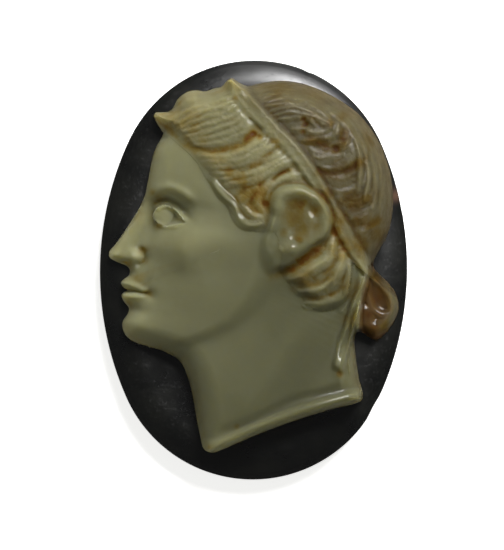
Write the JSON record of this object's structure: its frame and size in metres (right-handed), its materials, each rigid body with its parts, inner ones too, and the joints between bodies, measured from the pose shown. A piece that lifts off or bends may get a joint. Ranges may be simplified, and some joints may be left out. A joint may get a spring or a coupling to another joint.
{
  "type": "cameo",
  "caption": "Oval two-layer stone cameo: a classical head in profile with a banded hairstyle, raised in the pale layer over a dark polished ground, with a flat back for a bezel setting.",
  "frame": {"origin": "middle of the flat back of the oval", "axes": "+Y towards the top of the head, +Z out of the carved face, the profile looks towards -X"},
  "size_m": [0.022, 0.03, 0.0086],
  "materials": {
    "dark_stone": "polished near-black agate with fine pits and scratches",
    "pale_stone": "polished translucent grey-green chalcedony with brown stains in the recesses"
  },
  "bodies": {
    "root": {"ground_layer": "dark_stone", "head_relief": "pale_stone"}
  },
  "joints": []
}
